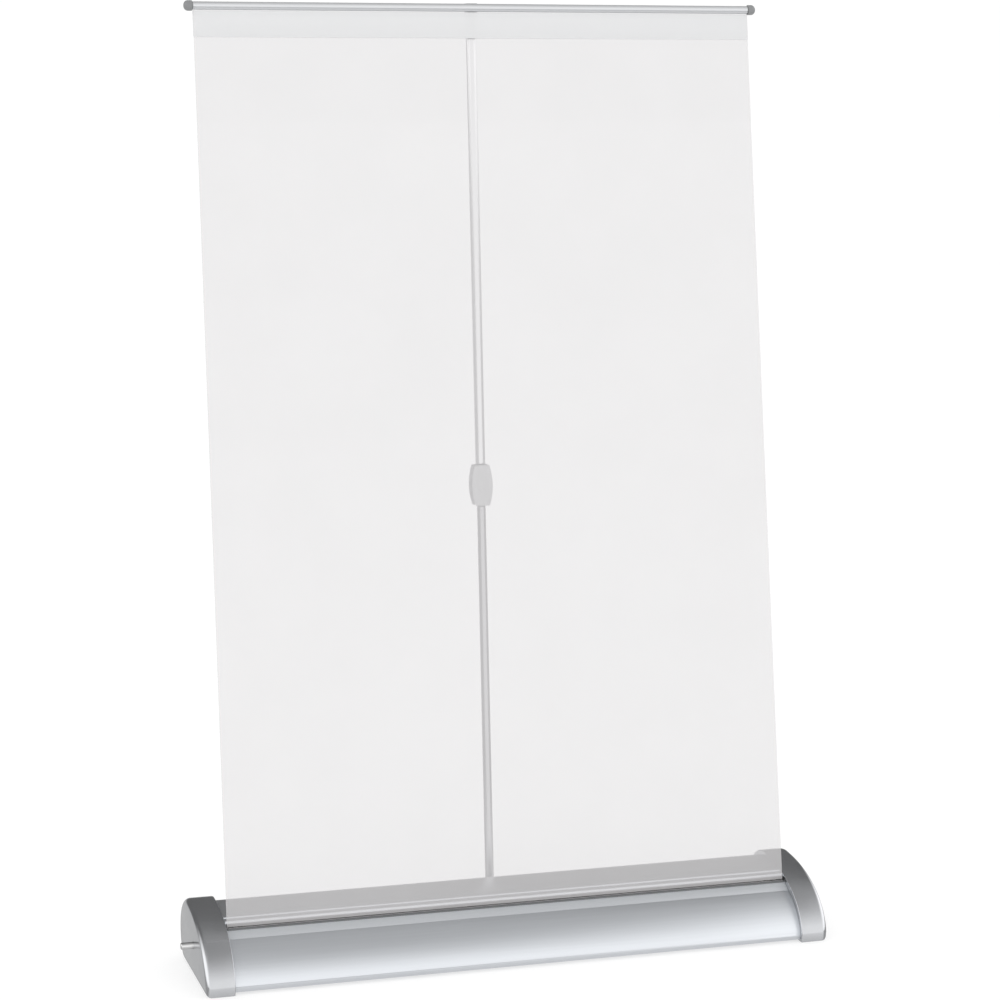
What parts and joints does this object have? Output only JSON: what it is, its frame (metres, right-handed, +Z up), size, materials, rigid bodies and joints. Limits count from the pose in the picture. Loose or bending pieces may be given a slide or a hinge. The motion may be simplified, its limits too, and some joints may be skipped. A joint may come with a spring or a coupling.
{
  "type": "roll-up banner stand",
  "caption": "Tabletop roll-up banner stand: spring-roller base cassette, translucent pull-up film with a top rail, and a folding support pole behind it.",
  "frame": {"origin": "centre of the footprint on the table, under the middle of the bounding box", "axes": "+X along the base to the right seen from the front, -Y to the viewer, +Z up"},
  "size_m": [0.3204, 0.0922, 0.4566],
  "materials": {
    "anodised_aluminium": "satin anodised",
    "silver_plastic": "silver-finished moulded plastic, glossy",
    "dark_plastic": "fine moulded texture",
    "grey_plastic": "smooth moulded",
    "knuckle_plastic": "light grey moulded",
    "bright_steel": "polished",
    "zinc_steel": "zinc plated",
    "pole_steel": "bright drawn tube",
    "mill_aluminium": "mill finish",
    "white_nylon": "moulded nylon",
    "rubber": "matt",
    "banner_film": "translucent frosted film",
    "clear_strip": "milky clear extrusion"
  },
  "bodies": {
    "base": {"base_profile": "anodised_aluminium", "slot_guide": "dark_plastic", "end_cap_left": "silver_plastic", "end_cap_right": "silver_plastic", "cap_screw_left_front": "zinc_steel", "cap_screw_left_rear": "zinc_steel", "cap_screw_right_front": "zinc_steel", "cap_screw_right_rear": "zinc_steel", "foot_left_front": "rubber", "foot_left_rear": "rubber", "foot_right_front": "rubber", "foot_right_rear": "rubber", "spring_axle": "bright_steel", "idler_axle": "bright_steel", "axle_clip_left": "bright_steel", "axle_clip_right": "bright_steel", "recoil_spring": "bright_steel", "banner": "banner_film", "pole_bracket": "dark_plastic", "pole_pivot_pin": "bright_steel", "bracket_screw_left": "zinc_steel", "bracket_screw_right": "zinc_steel"},
    "roller": {"roller_tube": "mill_aluminium", "roller_plug_spring": "white_nylon", "roller_plug_idler": "white_nylon", "banner_roll": "banner_film"},
    "rail": {"top_rail": "anodised_aluminium", "rail_cap_left": "grey_plastic", "rail_cap_right": "grey_plastic", "rail_skirt": "clear_strip"},
    "lower_pole": {"lower_pole": "pole_steel", "pole_foot_eye": "grey_plastic", "lower_pole_eye": "grey_plastic"},
    "knuckle": {"knuckle_front": "knuckle_plastic", "knuckle_rear": "knuckle_plastic", "knuckle_pin_lower": "bright_steel", "knuckle_pin_upper": "bright_steel"},
    "upper_pole": {"upper_pole": "pole_steel", "upper_pole_eye": "grey_plastic", "pole_hook": "grey_plastic"}
  },
  "joints": [
    {"name": "rail_slide", "type": "slide", "parent": "base", "child": "rail", "axis": [0, -0.1381, -0.9904], "range_m": [0, 0.414], "deforming": ["banner"]},
    {"name": "roller_spin", "type": "hinge", "parent": "base", "child": "roller", "pos_m": [0, -0.01368, 0.0158], "axis": [1, 0, 0], "continuous": true},
    {"name": "pole_swing", "type": "hinge", "parent": "base", "child": "lower_pole", "pos_m": [0.003, 0.02792, 0.015], "axis": [0, 0.9994, -0.0358], "range_deg": [0, 90]},
    {"name": "knuckle_lower", "type": "hinge", "parent": "lower_pole", "child": "knuckle", "pos_m": [0.00063, 0.03508, 0.21526], "axis": [0, 0.9994, -0.0358], "range_deg": [-78, 0]},
    {"name": "knuckle_upper", "type": "hinge", "parent": "knuckle", "child": "upper_pole", "pos_m": [0.0005, 0.03549, 0.22645], "axis": [0, 0.9994, -0.0358], "range_deg": [-78, 0]}
  ],
  "couplings": [
    {"joint": "roller_spin", "follows": "rail_slide", "rad_per_m": 106.38},
    {"joint": "knuckle_upper", "follows": "knuckle_lower", "ratio": 1}
  ]
}
